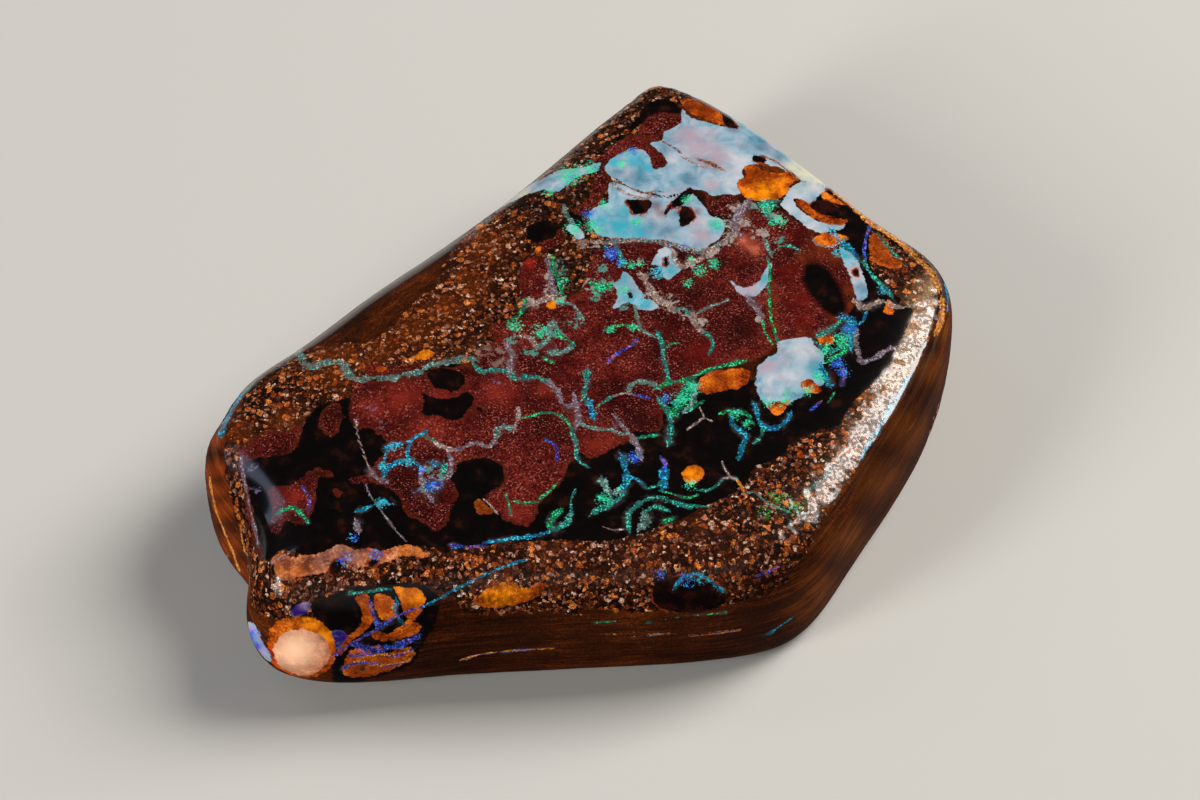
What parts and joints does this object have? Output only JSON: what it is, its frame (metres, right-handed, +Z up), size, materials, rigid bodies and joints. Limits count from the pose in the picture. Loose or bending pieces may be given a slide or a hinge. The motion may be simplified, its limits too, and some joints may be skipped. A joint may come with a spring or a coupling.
{
  "type": "boulder opal stone",
  "caption": "Flat tumbled piece of boulder opal, five-sided with a round lobe at one corner, lying on its flat underside.",
  "frame": {"origin": "middle of the stone's box, on the surface that it lies on", "axes": "+X along the stone's longest way, +Y towards its pointed end, +Z up, out of the polished face"},
  "size_m": [0.0426, 0.0391, 0.0095],
  "materials": {
    "opal_in_ironstone": "tumbled to a high polish, with sandy patches left matt"
  },
  "bodies": {
    "root": {"boulder_opal": "opal_in_ironstone"}
  },
  "joints": []
}
